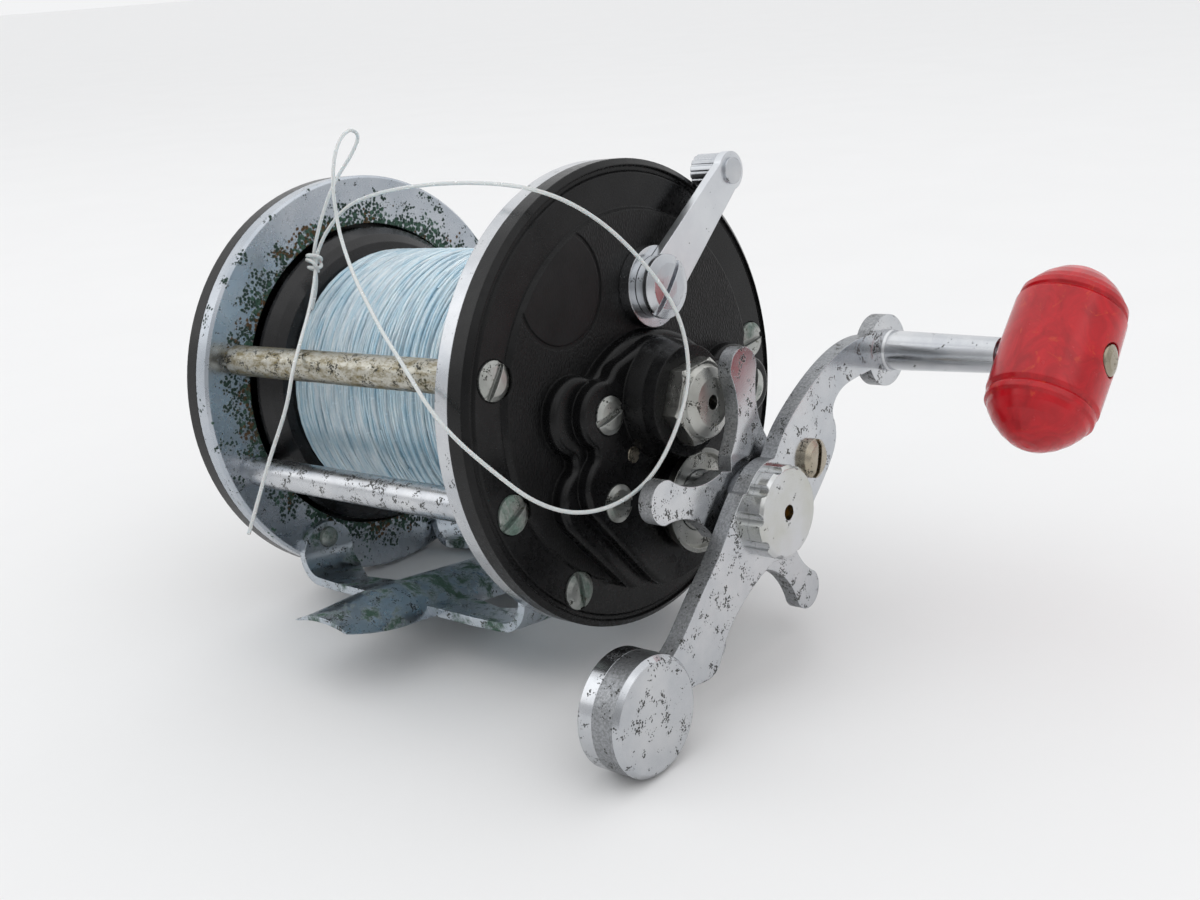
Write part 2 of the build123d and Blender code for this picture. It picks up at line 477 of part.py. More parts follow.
save("click_tongue", prism(-37.6, -36.4, tongue) + rod(-36.4, -34.0, 0.9, polar(13.0, CLICK_DIR)))
spring_path = Polyline(*[(x, z) for x, z in ((-4.6, 0), (-4.6, 9), (-3.9, 9), (-3.9, 0))], close=True)
guide = make_face(spring_path) + mirror(make_face(spring_path), Plane.YZ)
save("click_spring", prism(-38.4, -37.0, Pos(*polar(13.5, CLICK_DIR)) * Rot(0, 0, CLICK_DIR - 90) * guide))

# ---- free end of the line and its knot --------------------------------------------------------------------------
KNOT = (-22.6, -21.2, 65.0)
LINE_ROUTE = [
    (-24.4, -21.4, 55.7), (-24.2, -20.4, 58.4), (-23.6, -20.2, 62.0), (-23.2, -21.0, 65.0), (-22.9, -20.6, 68.4),
    (-22.0, -18.2, 75.6), (-21.0, -15.9, 80.6), (-19.2, -13.0, 85.2), (-16.6, -13.0, 88.6), (-15.0, -17.0, 89.6),
    (-14.5, -20.6, 86.2), (-14.2, -22.2, 79.5), (-13.0, -22.5, 71.8), (-9.0, -24.4, 67.2), (0.0, -29.4, 62.2),
    (8.0, -32.9, 57.5), (16.0, -37.0, 54.0), (24.0, -40.4, 50.4), (30.0, -42.7, 46.9), (36.0, -44.2, 42.6),
    (40.5, -43.2, 38.4), (44.5, -39.6, 33.4), (48.0, -36.0, 29.1), (50.2, -30.6, 26.3), (52.0, -25.0, 25.7),
    (53.6, -19.2, 27.0), (55.0, -13.8, 30.6), (55.8, -8.9, 37.4), (55.6, -5.4, 44.2), (55.0, -4.9, 50.3),
    (53.4, -5.3, 56.0), (51.2, -7.8, 61.6), (49.0, -12.0, 67.0), (46.8, -16.2, 71.2), (44.6, -21.6, 74.6),
    (40.8, -25.2, 76.6), (33.5, -24.7, 77.6), (22.5, -21.7, 78.2), (11.0, -19.3, 78.4), (0.5, -18.3, 78.0),
    (-8.5, -18.0, 77.0), (-15.5, -18.5, 75.1), (-19.8, -19.8, 70.9), (-21.6, -20.8, 67.4), (-22.0, -21.4, 64.8),
    (-21.4, -22.3, 61.6), (-17.6, -26.8, 56.4), (-8.4, -36.3, 51.0), (-6.2, -39.9, 46.5), (-6.3, -41.4, 40.6),
    (-9.0, -43.8, 32.0), (-12.8, -45.3, 22.0), (-14.4, -46.1, 17.4),
]


def line_tube(points, diameter):
    """Straight runs joined by tangent arcs, swept with a round section."""
    pts = [Vector(*p) for p in points]
    radii = []
    for a, b, c in zip(pts, pts[1:], pts[2:]):
        turn = (b - a).get_angle(c - b)
        radii.append(0.45 * min((b - a).length, (c - b).length) / tan(radians(turn / 2)))
    path = FilletPolyline(*pts, radius=radii)
    print("   free line length", round(path.length, 1), "tightest arc", round(min(radii), 1))
    return sweep(Plane(origin=pts[0], z_dir=pts[1] - pts[0]) * Circle(diameter / 2), path=path)


# one knot of small turns, drawn up tight where the loop closes
knot = Pos(*KNOT) * Rot(20, 0, 30) * Torus(1.0, 0.62)
knot = knot + Pos(KNOT[0] + 0.2, KNOT[1], KNOT[2] - 0.7) * Rot(75, 20, 0) * Torus(0.9, 0.6)
knot = knot + Pos(*KNOT) * Sphere(0.9)
save("free_line", knot + line_tube(LINE_ROUTE, LINE_D))
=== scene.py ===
"""Trolling reel: materials, wound line, free line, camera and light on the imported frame.

Everything is in metres in the row frame: +X along the spool axis to the crank,
+Z up from the rod seat, +Y to the rear.  MM turns millimetres into metres.
"""

import bpy
from math import cos, radians, sin, tau
from random import Random
from mathutils import Matrix, Vector, noise


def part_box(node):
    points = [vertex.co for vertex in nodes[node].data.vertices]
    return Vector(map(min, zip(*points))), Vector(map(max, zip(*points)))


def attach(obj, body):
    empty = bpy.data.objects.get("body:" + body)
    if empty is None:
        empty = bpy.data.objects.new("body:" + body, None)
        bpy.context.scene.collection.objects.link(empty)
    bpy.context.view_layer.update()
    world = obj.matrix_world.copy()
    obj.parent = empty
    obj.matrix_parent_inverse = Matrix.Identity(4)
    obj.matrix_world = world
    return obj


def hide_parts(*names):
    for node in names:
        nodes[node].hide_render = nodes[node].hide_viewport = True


MM = 0.001
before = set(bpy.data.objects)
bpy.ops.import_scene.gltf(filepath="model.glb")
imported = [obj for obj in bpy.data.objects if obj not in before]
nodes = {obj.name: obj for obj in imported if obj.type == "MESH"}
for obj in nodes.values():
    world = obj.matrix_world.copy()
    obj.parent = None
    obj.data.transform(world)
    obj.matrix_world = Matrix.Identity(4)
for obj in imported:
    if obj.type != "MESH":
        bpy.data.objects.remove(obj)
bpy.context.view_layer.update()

# ---- places read from the frame ------------------------------------------------------
plate_lo, plate_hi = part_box("right_plate")
AXIS_Z = (plate_lo[2] + plate_hi[2]) / 2          # spool axis height
pack_lo, pack_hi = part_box("wound_line")
PACK_R = (pack_hi[2] - pack_lo[2]) / 2
PACK_HALF = pack_hi[0]
LINE_D = 0.7 * MM


# ---- camera --------------------------------------------------------------------------
def camera(place, azimuth, elevation, roll, lens):
    a, e, r = radians(azimuth), radians(elevation), radians(roll)
    back = Vector((sin(a) * cos(e), -cos(a) * cos(e), sin(e)))
    right = Vector((cos(a), sin(a), 0))
    up = back.cross(right)
    right, up = right * cos(r) + up * sin(r), up * cos(r) - right * sin(r)
    data = bpy.data.cameras.new("camera")
    data.lens, data.sensor_width, data.clip_start = lens, 36.0, 0.005
    cam = bpy.data.objects.new("camera", data)
    bpy.context.collection.objects.link(cam)
    turn = Matrix((right, up, back)).transposed().to_4x4()
    cam.matrix_world = Matrix.Translation(place) @ turn
    bpy.context.scene.camera = cam


camera((0.1957, -0.1828, 0.0737), 42.14, 10.11, -2.10, 41.2)


# ---- node helpers --------------------------------------------------------------------
class Mat:
    """Small wrapper that builds a node material around one Principled shader."""

    def __init__(self, name):
        self.m = bpy.data.materials.new(name)
        self.m.use_nodes = True
        self.t = self.m.node_tree
        self.t.nodes.clear()
        self.out = self.t.nodes.new("ShaderNodeOutputMaterial")
        self.b = self.t.nodes.new("ShaderNodeBsdfPrincipled")
        self.link(self.b.outputs[0], self.out.inputs[0])
        coord = self.t.nodes.new("ShaderNodeTexCoord")
        scale = self.t.nodes.new("ShaderNodeVectorMath")
        scale.operation = "SCALE"
        scale.inputs["Scale"].default_value = 1 / MM
        self.link(coord.outputs["Object"], scale.inputs[0])
        self.mm = scale.outputs[0]                 # position in millimetres

    def link(self, a, b):
        self.t.links.new(a, b)

    def set(self, **values):
        for key, value in values.items():
            self.b.inputs[key.replace("_", " ")].default_value = value

    def feed(self, socket, value):
        self.link(value, self.b.inputs[socket])

    def math(self, op, a, b=0.0, clamp=False):
        n = self.t.nodes.new("ShaderNodeMath")
        n.operation, n.use_clamp = op, clamp
        for k, v in enumerate((a, b)):
            if isinstance(v, (int, float)):
                n.inputs[k].default_value = v
            else:
                self.link(v, n.inputs[k])
        return n.outputs[0]

    def band(self, value, lo, hi, out_lo=0.0, out_hi=1.0):
        n = self.t.nodes.new("ShaderNodeMapRange")
        n.clamp = True
        self.link(value, n.inputs[0])
        for k, v in enumerate((lo, hi, out_lo, out_hi)):
            n.inputs[k + 1].default_value = v
        return n.outputs[0]

    def stretch(self, vector, factors):
        n = self.t.nodes.new("ShaderNodeVectorMath")
        n.operation = "MULTIPLY"
        self.link(vector, n.inputs[0])
        n.inputs[1].default_value = factors
        return n.outputs[0]

    def noise(self, scale, detail=4.0, rough=0.55, at=None, distort=0.0):
        n = self.t.nodes.new("ShaderNodeTexNoise")
        self.link(at or self.mm, n.inputs["Vector"])
        n.inputs["Scale"].default_value = scale
        n.inputs["Detail"].default_value = detail
        n.inputs["Roughness"].default_value = rough
        n.inputs["Distortion"].default_value = distort
        return n.outputs["Fac"]

    def cells(self, scale, feature="F1", at=None):
        n = self.t.nodes.new("ShaderNodeTexVoronoi")
        n.feature = feature
        self.link(at or self.mm, n.inputs["Vector"])
        n.inputs["Scale"].default_value = scale
        return n.outputs["Distance"]

    def mix(self, factor, a, b):
        n = self.t.nodes.new("ShaderNodeMix")
        n.data_type = "RGBA"
        for k, v in ((0, factor), (6, a), (7, b)):
            if isinstance(v, (tuple, list)):
                n.inputs[k].default_value = (*v, 1.0)[:4]
            elif isinstance(v, (int, float)):
                n.inputs[k].default_value = v
            else:
                self.link(v, n.inputs[k])
        return n.outputs[2]

    def bump(self, height, strength, distance=0.05 * MM, normal=None):
        n = self.t.nodes.new("ShaderNodeBump")
        n.inputs["Strength"].default_value = strength
        n.inputs["Distance"].default_value = distance
        self.link(height, n.inputs["Height"])
        if normal is not None:
            self.link(normal, n.inputs["Normal"])
        return n.outputs[0]

    def soft_edges(self, radius=0.25 * MM):
        n = self.t.nodes.new("ShaderNodeBevel")
        n.samples = 4
        n.inputs["Radius"].default_value = radius
        return n.outputs[0]

    def radius(self, y=0.0, z=0.0):
        """Distance in millimetres from the line along X that is (y, z) from the spool axis."""
        n = self.t.nodes.new("ShaderNodeVectorMath")
        n.operation = "SUBTRACT"
        self.link(self.mm, n.inputs[0])
        n.inputs[1].default_value = (0, y, AXIS_Z / MM + z)
        length = self.t.nodes.new("ShaderNodeVectorMath")
        length.operation = "LENGTH"
        self.link(self.stretch(n.outputs[0], (0, 1, 1)), length.inputs[0])
        return length.outputs["Value"]

    def side_walls(self):
        """One on walls that run along X, nothing on faces that look along it."""
        n = self.t.nodes.new("ShaderNodeNewGeometry")
        split = self.t.nodes.new("ShaderNodeSeparateXYZ")
        self.link(n.outputs["Normal"], split.inputs[0])
        return self.band(self.math("ABSOLUTE", split.outputs[0]), 0.35, 0.75, 1.0, 0.0)

    def spots(self, cells, size, low, high, blur, rim=None):
        """Ragged specks, one to a cell at most, that grow where a slow noise is between low and high."""
        field = self.noise(cells * 0.16, 4, 0.6)
        if rim:
            field = self.math("ADD", field, self.band(self.radius(), rim[0], rim[1], 0.22, -0.06))
        grow = self.band(field, low, high, -0.12, size)
        ragged = self.math("MULTIPLY", self.math("SUBTRACT", self.noise(cells * 3.1, 3), 0.5), 0.30)
        reach = self.math("SUBTRACT", self.math("ADD", grow, ragged), self.cells(cells))
        return self.band(reach, 0.0, blur * size)

    def axis(self, k):
        n = self.t.nodes.new("ShaderNodeSeparateXYZ")
        self.link(self.mm, n.inputs[0])
        return n.outputs[k]


CAST_GREY, PIT_BLACK = (0.16, 0.165, 0.17), (0.035, 0.035, 0.03)


def plated(name, base, dark, rough, pits=0.5, smudge=0.12,
           bloom=(), specks=(), streak=None, cast=False):
    """Plated metal: smudged sheen, clusters of small black pits, specks and blooms of corrosion.

    A bloom is (colour, scale, low, high): the noise band that has turned into corrosion.
    A speck set is (colour, cells per mm, largest radius in cells, low, high, rim), where rim,
    if given, is the radius where it is densest and the one where it has thinned out.
    A streak is (colour, scale, low, high) too, drawn out along X.
    cast darkens and roughens the walls that run along the spool axis.
    """
    m = Mat(name)
    m.set(Metallic=1.0)
    cloud = m.noise(0.09, 5, 0.6)
    colour = m.mix(m.band(cloud, 0.35, 0.7), base, dark)
    rough_map = m.band(m.noise(0.35, 6, 0.65), 0.3, 0.75, rough, rough + smudge)
    grown = None
    if cast:
        wall = m.side_walls()
        grit = m.noise(2.4, 5, 0.75)
        rough_cast = m.math("MULTIPLY", wall, m.band(grit, 0.35, 0.65, 0.35, 0.9))
        colour = m.mix(rough_cast, colour, CAST_GREY)
        rough_map = m.math("ADD", rough_map, m.math("MULTIPLY", wall, 0.22))
    if streak:
        tint, scale, low, high = streak
        wear = m.band(m.noise(scale, 8, 0.8, at=m.stretch(m.mm, (0.5, 1, 1))), low, high)
        colour = m.mix(wear, colour, tint)
        rough_map = m.math("ADD", rough_map, m.math("MULTIPLY", wear, 0.25))
    black = m.spots(2.7, 0.60, 0.60 - 0.12 * pits, 0.76 - 0.12 * pits, 0.16)
    colour = m.mix(m.math("MULTIPLY", black, 0.9), colour, PIT_BLACK)
    height = m.math("MULTIPLY", black, -1.0)
    layers = [(tint, m.band(m.noise(scale, 8, 0.7, distort=0.3), low, high))
              for tint, scale, low, high in bloom]
    layers += [(tint, m.spots(cells, size, low, high, 0.28, rim))
               for tint, cells, size, low, high, rim in specks]
    for tint, patch in layers:
        shade = m.mix(m.band(m.noise(2.6, 6, 0.7), 0.35, 0.65), tint, [0.4 * c for c in tint])
        colour = m.mix(patch, colour, shade)
        rough_map = m.math("ADD", rough_map, m.math("MULTIPLY", patch, 0.5), True)
        height = m.math("ADD", height, m.math("MULTIPLY", patch, 0.8))
        grown = patch if grown is None else m.math("MAXIMUM", grown, patch)
    if grown is not None:
        m.feed("Metallic", m.band(grown, 0.0, 1.0, 1.0, 0.1))
    scratch = m.noise(1.2, 3, 0.6, at=m.stretch(m.mm, (6, 0.6, 0.6)))
    height = m.math("ADD", height, m.math("MULTIPLY", scratch, 0.06))
    if cast:
        height = m.math("ADD", height, m.math("MULTIPLY", m.math("MULTIPLY", grit, wall), 1.2))
    m.feed("Base Color", colour)
    m.feed("Roughness", rough_map)
    m.feed("Normal", m.bump(height, 0.5, 0.06 * MM, m.soft_edges()))
    return m.m


def paint(material, *names):
    for name in names:
        mesh = nodes[name].data
        mesh.materials.clear()
        mesh.materials.append(material)


def phenolic(name, grain_r, medallion=None):
    """Moulded black plate: leather grain on its flat face inside a radius, fainter on the medallion.

    A medallion is (y, z, radius) from the spool axis, in millimetres.
    """
    m = Mat(name)
    cloud = m.band(m.noise(0.15, 5), 0.4, 0.7)
    m.feed("Base Color", m.mix(cloud, (0.002, 0.002, 0.0022), (0.006, 0.006, 0.0064)))
    m.set(Specular_IOR_Level=0.24)
    x = m.math("ABSOLUTE", m.axis(0))
    # the flat faces lie between 40.1 and 40.6 mm from the middle
    level = m.math("MULTIPLY", m.band(x, 40.0, 40.1), m.band(x, 40.6, 40.8, 1.0, 0.0))
    mask = m.math("MULTIPLY", m.band(m.radius(), grain_r - 0.3, grain_r, 1.0, 0.0), level)
    grain = m.band(m.cells(2.1, "DISTANCE_TO_EDGE", at=m.stretch(m.mm, (1, 1.0, 0.5))), 0.0, 0.30)
    grain = m.math("ADD", grain, m.math("MULTIPLY", m.noise(3.0, 6, 0.7), 0.8))
    height = m.math("MULTIPLY", grain, mask)
    if medallion:
        y, z, r_out = medallion
        plain = m.band(m.radius(y, z), r_out - 0.2, r_out, 0.15, 1.0)
        height = m.math("MULTIPLY", height, plain)
    scuff = m.noise(0.8, 7, 0.7)
    rough = m.band(scuff, 0.3, 0.75, 0.20, 0.38)
    dust = m.spots(0.9, 0.10, 0.52, 0.70, 0.4)
    m.feed("Roughness", m.math("ADD", rough, m.math("MULTIPLY", m.math("MAXIMUM", mask, dust), 0.12)))
    height = m.math("ADD", height, m.math("MULTIPLY", scuff, 0.10))
    m.feed("Normal", m.bump(height, 0.45, 0.10 * MM, m.soft_edges(0.35 * MM)))
    return m.m


# ---- materials on the CAD nodes ------------------------------------------------------
GREEN, DEEP = (0.06, 0.13, 0.09), (0.018, 0.05, 0.035)
OLIVE, BROWN = (0.09, 0.085, 0.04), (0.14, 0.075, 0.03)
VERDIGRIS = (0.17, 0.25, 0.21)
CHROME, CHROME_DARK = (0.60, 0.61, 0.625), (0.46, 0.48, 0.51)
BLUED, BLUED_DARK = (0.50, 0.53, 0.57), (0.38, 0.42, 0.47)
GRAIN_R = 32.6
MEDALLION = (-19.13, 20.06, 9.5)

paint(phenolic("phenolic_right", GRAIN_R, MEDALLION), "right_plate")
paint(phenolic("phenolic_left", GRAIN_R), "left_plate")

left_specks = ((DEEP, 1.5, 0.66, 0.44, 0.60, (31.5, 38.5)), (GREEN, 0.95, 0.62, 0.48, 0.66, (31.5, 37.0)),
               (BROWN, 1.1, 0.55, 0.60, 0.76, (32, 40)), (DEEP, 2.2, 0.5, 0.56, 0.80, (31.5, 41)))
paint(plated("ring_left_metal", BLUED, BLUED_DARK, 0.22, 0.5, specks=left_specks), "left_ring")
right_specks = ((DEEP, 1.1, 0.5, 0.62, 0.78, (32, 41)), (OLIVE, 0.6, 0.4, 0.66, 0.85, None))
paint(plated("ring_right_metal", CHROME, CHROME_DARK, 0.20, 0.6, specks=right_specks), "right_ring")
paint(plated("post_worn", (0.50, 0.49, 0.44), (0.38, 0.37, 0.32), 0.26, 1.4,
             streak=((0.20, 0.165, 0.085), 0.75, 0.44, 0.62),
             specks=((OLIVE, 1.6, 0.55, 0.50, 0.70, None),)),
      "upper_front_post", "upper_rear_post")
paint(plated("post_pitted", CHROME, CHROME_DARK, 0.22, 1.3), "lower_front_post", "lower_rear_post")
paint(plated("stand_metal", (0.50, 0.54, 0.58), (0.38, 0.43, 0.48), 0.24, 1.2,
             bloom=((GREEN, 0.16, 0.52, 0.62), (OLIVE, 0.40, 0.62, 0.68)),
             specks=((DEEP, 1.4, 0.55, 0.50, 0.72, None),)),
      "reel_stand")
screws = (("right_plate_screws", 0.50, 0.62), ("left_plate_screws", 0.50, 0.62),
          ("bridge_screws", 0.58, 0.70), ("stand_rivets", 0.38, 0.52))
for k, (name, low, high) in enumerate(screws):
    paint(plated("screw_metal_%d" % k, (0.46, 0.47, 0.45), (0.30, 0.31, 0.29), 0.30, 0.9, cast=True,
                 bloom=((VERDIGRIS, 0.085, low, high), (OLIVE, 0.6, 0.60, 0.68))), name)
paint(plated("crank_chrome", CHROME, CHROME_DARK, 0.14, 1.1, 0.10, cast=True), "crank_arm")
paint(plated("weight_chrome", CHROME, CHROME_DARK, 0.14, 1.1, 0.10), "counterweight_slug")
paint(plated("star_chrome", CHROME, CHROME_DARK, 0.16, 1.2, 0.10, cast=True), "star_drag")
paint(plated("nut_chrome", CHROME, (0.50, 0.50, 0.45), 0.14, 0.5,
             specks=((OLIVE, 0.7, 0.5, 0.56, 0.8, None),)), "crank_nut")
paint(plated("small_chrome", CHROME, CHROME_DARK, 0.15, 0.5), "knob_spindle", "lever_washer",
      "lever_screw", "lever_knob", "left_bearing_cap", "drag_sleeve")
paint(plated("cap_chrome", (0.50, 0.50, 0.48), (0.34, 0.34, 0.31), 0.24, 1.0,
             specks=((OLIVE, 0.9, 0.5, 0.54, 0.76, None),)),
      "right_bearing_cap", "drag_cup_washer")
paint(plated("lever_plate", (0.70, 0.72, 0.74), (0.60, 0.62, 0.65), 0.28, 0.2), "throw_lever")
paint(plated("nickel_brass", (0.42, 0.38, 0.31), (0.30, 0.26, 0.19), 0.22, 0.9,
             bloom=((BROWN, 0.5, 0.62, 0.72),)),
      "nut_lock_screw", "dog_pin", "knob_rivet", "click_button")
paint(plated("inner_steel", (0.52, 0.52, 0.52), (0.40, 0.40, 0.40), 0.32, 0.3), "spindle", "throw_cam",
      "yoke_springs", "click_spring", "click_ratchet", "click_tongue", "anti_reverse_dog",
      "drag_metal_washers", "ratchet_wheel")
paint(plated("inner_brass", (0.66, 0.50, 0.25), (0.52, 0.38, 0.18), 0.28, 0.3), "bridge", "main_gear",
      "pinion", "yoke", "gear_sleeve", "right_bearing", "left_bearing")

fibre = Mat("fibre")
fibre.feed("Base Color", fibre.mix(fibre.noise(1.5, 6), (0.20, 0.13, 0.08), (0.34, 0.25, 0.16)))
fibre.set(Roughness=0.8)
fibre.feed("Normal", fibre.bump(fibre.noise(4, 6), 0.6))
paint(fibre.m, "drag_friction_washers")

spool = Mat("spool_black")
spool_cloud = spool.band(spool.noise(0.2, 6), 0.4, 0.7)
spool.feed("Base Color", spool.mix(spool_cloud, (0.004, 0.004, 0.0045), (0.012, 0.0115, 0.0125)))
spool.feed("Roughness", spool.band(spool.noise(0.6, 7, 0.7), 0.3, 0.75, 0.16, 0.34))
spool.feed("Normal", spool.bump(spool.noise(0.5, 4), 0.15, 0.1 * MM, spool.soft_edges(0.3 * MM)))
spool.set(Specular_IOR_Level=0.4)
paint(spool.m, "spool")

# red cast resin with darker clouds and orange streaks, drawn across the grip
grip = Mat("grip_resin")
swirl = grip.noise(0.16, 6, 0.62, at=grip.stretch(grip.mm, (1.3, 1.0, 1.0)), distort=1.6)
veins = grip.band(grip.noise(0.22, 7, 0.6, distort=2.2), 0.60, 0.72)
red = grip.mix(grip.band(swirl, 0.35, 0.62), (0.36, 0.003, 0.008), (0.52, 0.006, 0.013))
red = grip.mix(grip.math("MULTIPLY", veins, 0.34), red, (0.70, 0.10, 0.02))
grip.feed("Base Color", red)
grip.feed("Roughness", grip.band(grip.noise(0.5, 6, 0.7), 0.3, 0.75, 0.14, 0.30))
grip.set(Subsurface_Weight=0.08, Specular_IOR_Level=0.42)
grip.b.inputs["Subsurface Radius"].default_value = (1.2 * MM, 0.2 * MM, 0.1 * MM)
grip.b.inputs["Subsurface Scale"].default_value = 1.0
grip.feed("Normal", grip.bump(grip.noise(0.9, 6, 0.7), 0.12, 0.08 * MM, grip.soft_edges(0.3 * MM)))
paint(grip.m, "knob_grip")


def monofilament(name, pale, blue, grain, light):
    """Clear line: pale and blue stretches along the strand, glossy, a little light passes in."""
    m = Mat(name)
    along = m.noise(grain, 5, 0.6, at=m.stretch(m.mm, (3.2, 0.5, 0.5)))
    m.feed("Base Color", m.mix(m.band(along, 0.32, 0.66), pale, blue))
    m.feed("Roughness", m.band(m.noise(1.2, 5), 0.3, 0.7, 0.14, 0.30))
    m.set(Subsurface_Weight=0.35, Transmission_Weight=light, IOR=1.5)
    m.b.inputs["Subsurface Radius"].default_value = (0.6 * MM, 0.8 * MM, 0.9 * MM)
    m.b.inputs["Subsurface Scale"].default_value = 1.0
    m.feed("Normal", m.bump(m.noise(2.5, 3), 0.06, 0.04 * MM))
    return m.m


wound_mat = monofilament("wound_monofilament", (0.72, 0.85, 0.91), (0.34, 0.56, 0.71), 0.30, 0.12)
free_mat = monofilament("free_monofilament", (0.86, 0.88, 0.87), (0.80, 0.84, 0.84), 0.02, 0.35)


# ---- wound line: individual strands over a smooth core -------------------------------
def tube(verts, faces, points, radius, sides=6):
    """Adds an open tube round points that run about the spool axis."""
    start = len(verts)
    for p, q in zip(points, points[1:] + points[-1:]):
        out = Vector((0, p.y, p.z - AXIS_Z)).normalized()
        run = (q - p) if q is not p else (p - points[-2])
        side = out.cross(run).normalized()
        for k in range(sides):
            a = tau * k / sides
            verts.append(p + (out * cos(a) + side * sin(a)) * radius)
    for i in range(len(points) - 1):
        for k in range(sides):
            a, b = start + i * sides + k, start + i * sides + (k + 1) % sides
            faces.append((a, b, b + sides, a + sides))


def mesh_piece(name, verts, faces, material):
    mesh = bpy.data.meshes.new(name)
    mesh.from_pydata([tuple(v) for v in verts], [], faces)
    mesh.materials.append(material)
    for poly in mesh.polygons:
        poly.use_smooth = True
    obj = bpy.data.objects.new(name, mesh)
    bpy.context.collection.objects.link(obj)
    return obj


def around(x, r, angle):
    return Vector((x, r * cos(angle), AXIS_Z + r * sin(angle)))


rng = Random(7)
verts, faces = [], []
core_r = PACK_R - 1.0 * MM
steps = 72
SHOULDER = 2.5 * MM                                # width over which the pack's ends round off
TURN_STEPS = 56                                    # points in one turn of a strand
LATER_RUNS = 26
for j, (x, r) in enumerate(((-PACK_HALF, 0.6 * core_r), (-PACK_HALF + 0.2 * MM, core_r - 1.2 * MM),
                            (-PACK_HALF + SHOULDER, core_r), (PACK_HALF - SHOULDER, core_r),
                            (PACK_HALF - 0.2 * MM, core_r - 1.2 * MM), (PACK_HALF, 0.6 * core_r))):
    verts += [around(x, r, tau * k / steps) for k in range(steps)]
    if j:
        for k in range(steps):
            a, b = (j - 1) * steps + k, (j - 1) * steps + (k + 1) % steps
            faces.append((a, b, b + steps, a + steps))
faces.append(tuple(reversed(range(steps))))
faces.append(tuple(range(5 * steps, 6 * steps)))

lay_r = PACK_R - 0.62 * MM


def strand(x0, x1, turns, lift, start, wobble):
    """One run of line laid from x0 to x1 in so many turns, rising a little where it crosses."""
    points = []
    n = int(turns * TURN_STEPS)
    for i in range(n + 1):
        t = i / n
        a = start + tau * turns * t
        x = x0 + (x1 - x0) * t
        x += wobble * noise.noise(Vector((x * 180, 1.3 * cos(a), 1.3 * sin(a) + start)))
        edge = max(0.0, abs(x) - (PACK_HALF - SHOULDER)) / SHOULDER
        r = lay_r + lift - 1.1 * MM * edge ** 2
        r += 0.16 * MM * noise.noise(Vector((x * 400, 2 * cos(a), 2 * sin(a))))
        limit = PACK_HALF - LINE_D / 2
        points.append(around(max(-limit, min(limit, x)), r, a))
    return points


first = -PACK_HALF + 0.5 * MM
tube(verts, faces, strand(first, -first, 2 * PACK_HALF / (LINE_D * 1.04), 0, 0, 0.5 * MM), LINE_D / 2)
for k in range(LATER_RUNS):                       # later runs, laid over the first at changing pitch
    x0 = rng.uniform(first, -first)
    span = rng.uniform(6, 26) * MM * rng.choice((-1, 1))
    x1 = max(first, min(-first, x0 + span))
    if abs(x1 - x0) > 3 * MM:
        pitch = rng.uniform(1.6, 4.5) * MM
        lift = rng.uniform(0.22, 0.45) * MM
        start = rng.uniform(0, tau)
        run = strand(x0, x1, abs(x1 - x0) / pitch, lift, start, 1.0 * MM)
        tube(verts, faces, run, LINE_D / 2 * 0.95)
wound = mesh_piece("wound_strands", verts, faces, wound_mat)
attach(wound, "spool")
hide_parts("wound_line")

# ---- free line: one length through its knot, round its loops and out to a bare end ---
KNOT = (-22.6, -21.2, 65.0)
ROUTE = [
    (-24.4, -21.4, 55.7), (-24.2, -20.4, 58.4), (-23.6, -20.2, 62.0), (-23.2, -21.0, 65.0),
    (-22.9, -20.6, 68.4), (-22.0, -18.2, 75.6), (-21.0, -15.9, 80.6), (-19.2, -13.0, 85.2),
    (-16.6, -13.0, 88.6), (-15.0, -17.0, 89.6), (-14.5, -20.6, 86.2), (-14.2, -22.2, 79.5),
    (-13.0, -22.5, 71.8), (-9.0, -24.4, 67.2), (0.0, -29.4, 62.2), (8.0, -32.9, 57.5),
    (16.0, -37.0, 54.0), (24.0, -40.4, 50.4), (30.0, -42.7, 46.9), (36.0, -44.2, 42.6),
    (40.5, -43.2, 38.4), (44.5, -39.6, 33.4), (48.0, -36.0, 29.1), (50.2, -30.6, 26.3),
    (52.0, -25.0, 25.7), (53.6, -19.2, 27.0), (55.0, -13.8, 30.6), (55.8, -8.9, 37.4),
    (55.6, -5.4, 44.2), (55.0, -4.9, 50.3), (53.4, -5.3, 56.0), (51.2, -7.8, 61.6),
    (49.0, -12.0, 67.0), (46.8, -16.2, 71.2), (44.6, -21.6, 74.6), (40.8, -25.2, 76.6),
    (33.5, -24.7, 77.6), (22.5, -21.7, 78.2), (11.0, -19.3, 78.4), (0.5, -18.3, 78.0),
    (-8.5, -18.0, 77.0), (-15.5, -18.5, 75.1), (-19.8, -19.8, 70.9), (-21.6, -20.8, 67.4),
    (-22.0, -21.4, 64.8), (-21.4, -22.3, 61.6), (-17.6, -26.8, 56.4), (-8.4, -36.3, 51.0),
    (-6.2, -39.9, 46.5), (-6.3, -41.4, 40.6), (-9.0, -43.8, 32.0), (-12.8, -45.3, 22.0),
    (-14.4, -46.1, 17.4),
]


def line_curve(name, points, diameter):
    """Round line along a NURBS curve; each point's radius is the line's own, so that its box is right too."""
    data = bpy.data.curves.new(name, "CURVE")
    data.dimensions, data.resolution_u = "3D", 10
    data.bevel_depth, data.bevel_resolution = 1.0, 3
    data.use_fill_caps = True
    spline = data.splines.new("NURBS")
    spline.points.add(len(points) - 1)
    for p, q in zip(spline.points, points):
        p.co, p.radius = (*[c * MM for c in q], 1.0), diameter / 2
    spline.order_u, spline.use_endpoint_u = 3, True
    data.materials.append(free_mat)
    obj = bpy.data.objects.new(name, data)
    bpy.context.collection.objects.link(obj)
    return obj


